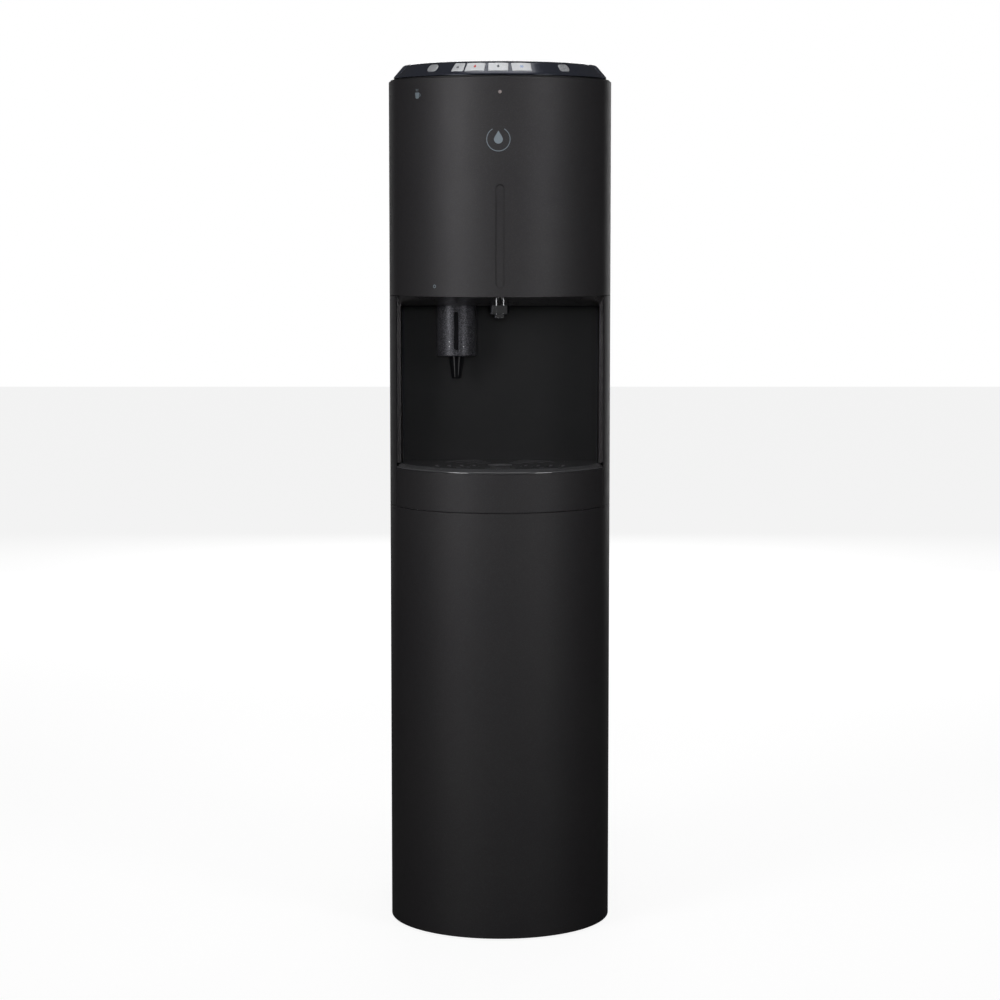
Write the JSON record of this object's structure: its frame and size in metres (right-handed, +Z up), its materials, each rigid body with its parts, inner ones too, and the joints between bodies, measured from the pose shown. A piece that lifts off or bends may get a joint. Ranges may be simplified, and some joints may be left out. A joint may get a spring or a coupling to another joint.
{
  "type": "water dispenser",
  "caption": "Tall floor-standing hot and cold water dispenser: half-round front, niche with tap and capsule coffee holder, drip tray, push keys and a lift-out top-fill tank.",
  "frame": {"origin": "on the floor under the middle of the bounding box", "axes": "+Z up, -Y out of the front with the niche, +X to the right seen from the front"},
  "size_m": [0.29, 0.363, 1.125],
  "materials": {
    "casing_paint": "satin dark grey metallic paint",
    "head_paint": "semi-gloss slate grey plastic",
    "key_white": "silver-white keys",
    "button_silver": "satin silver buttons",
    "gloss_black": "gloss black plastic",
    "niche_plastic": "fine satin black plastic",
    "holder_metallic": "dark metallic grained plastic",
    "chrome": "polished chrome",
    "black_plastic": "black structural plastic",
    "steel": "plain steel sheet",
    "stainless": "stainless steel",
    "tank_clear": "clear blue-grey plastic",
    "white_plastic": "white plastic",
    "foam": "white foam",
    "wrap": "insulating wrap",
    "silicone": "dark silicone rubber",
    "foot_rubber": "black rubber",
    "copper": "copper tube",
    "black_steel": "black enamelled steel",
    "circuit_board": "green circuit board",
    "cast_housing": "black painted housing"
  },
  "bodies": {
    "cabinet": {"upper_front_shell": "casing_paint", "lower_front_panel": "casing_paint", "left_side_panel": "casing_paint", "right_side_panel": "casing_paint", "rear_panel": "black_plastic", "power_inlet": "black_plastic", "base_plate": "black_plastic", "top_plate": "black_plastic", "foot_front_left": "foot_rubber", "foot_front_right": "foot_rubber", "foot_rear_left": "foot_rubber", "foot_rear_right": "foot_rubber", "sensor_lens": "gloss_black", "niche_liner": "niche_plastic", "niche_bezel": "niche_plastic", "niche_ceiling": "niche_plastic", "tap_collar": "gloss_black", "tap_spout": "chrome", "brew_head": "white_plastic", "brew_seal": "silicone", "piercing_needle": "stainless", "control_fascia": "head_paint", "control_head": "head_paint", "key_mat": "silicone", "control_board": "circuit_board", "left_upright": "steel", "right_upright": "steel", "cold_shelf": "steel", "tank_shelf": "black_plastic", "cold_tank_jacket": "foam", "cold_tank": "stainless", "evaporator_coil": "copper", "hot_tank": "wrap", "compressor": "cast_housing", "condenser_coil": "black_steel", "pump": "black_plastic", "power_board": "circuit_board", "valve_block": "white_plastic", "solenoid_hot": "black_plastic", "solenoid_room": "black_plastic", "solenoid_cold": "black_plastic", "cold_hose": "silicone", "hot_hose": "silicone"},
    "key_lock": {"key_lock": "key_white"},
    "key_hot": {"key_hot": "key_white"},
    "key_room": {"key_room": "key_white"},
    "key_cold": {"key_cold": "key_white"},
    "button_left": {"button_left": "button_silver"},
    "button_right": {"button_right": "button_silver"},
    "holder": {"capsule_holder": "holder_metallic", "holder_nozzle": "gloss_black"},
    "tray": {"drip_tray": "black_plastic", "tray_front": "casing_paint"},
    "grid": {"drip_grid": "gloss_black"},
    "tank": {"water_tank": "tank_clear", "tank_filter": "white_plastic", "tank_valve": "silicone", "lid_pin_left": "stainless", "lid_pin_right": "stainless"},
    "lid": {"tank_lid": "head_paint"}
  },
  "joints": [
    {"name": "key_lock_press", "type": "slide", "parent": "cabinet", "child": "key_lock", "axis": [0.2943, 0.7046, -0.6457], "range_m": [0, 0.001], "stiffness_N_per_m": 1500},
    {"name": "key_hot_press", "type": "slide", "parent": "cabinet", "child": "key_hot", "axis": [0.1752, 0.7432, -0.6457], "range_m": [0, 0.001], "stiffness_N_per_m": 1500},
    {"name": "key_room_press", "type": "slide", "parent": "cabinet", "child": "key_room", "axis": [0.0123, 0.7635, -0.6457], "range_m": [0, 0.001], "stiffness_N_per_m": 1500},
    {"name": "key_cold_press", "type": "slide", "parent": "cabinet", "child": "key_cold", "axis": [-0.1512, 0.7485, -0.6457], "range_m": [0, 0.001], "stiffness_N_per_m": 1500},
    {"name": "button_left_press", "type": "slide", "parent": "cabinet", "child": "button_left", "axis": [0.4744, 0.5984, -0.6457], "range_m": [0, 0.001], "stiffness_N_per_m": 1500},
    {"name": "button_right_press", "type": "slide", "parent": "cabinet", "child": "button_right", "axis": [-0.4508, 0.6163, -0.6457], "range_m": [0, 0.001], "stiffness_N_per_m": 1500},
    {"name": "holder_twist", "type": "hinge", "parent": "cabinet", "child": "holder", "pos_m": [-0.057, -0.0535, 0.75], "axis": [0, 0, 1], "range_deg": [0, 60]},
    {"name": "tray_slide", "type": "slide", "parent": "cabinet", "child": "tray", "axis": [0, -1, 0], "range_m": [0, 0.12]},
    {"name": "grid_lift", "type": "slide", "parent": "tray", "child": "grid", "axis": [0, 0, 1], "range_m": [0, 0.06]},
    {"name": "tank_lift", "type": "slide", "parent": "cabinet", "child": "tank", "axis": [0, 0, 1], "range_m": [0, 0.17]},
    {"name": "lid_hinge", "type": "hinge", "parent": "tank", "child": "lid", "pos_m": [0, 0.1725, 1.1095], "axis": [-1, 0, 0], "range_deg": [0, 95]}
  ]
}
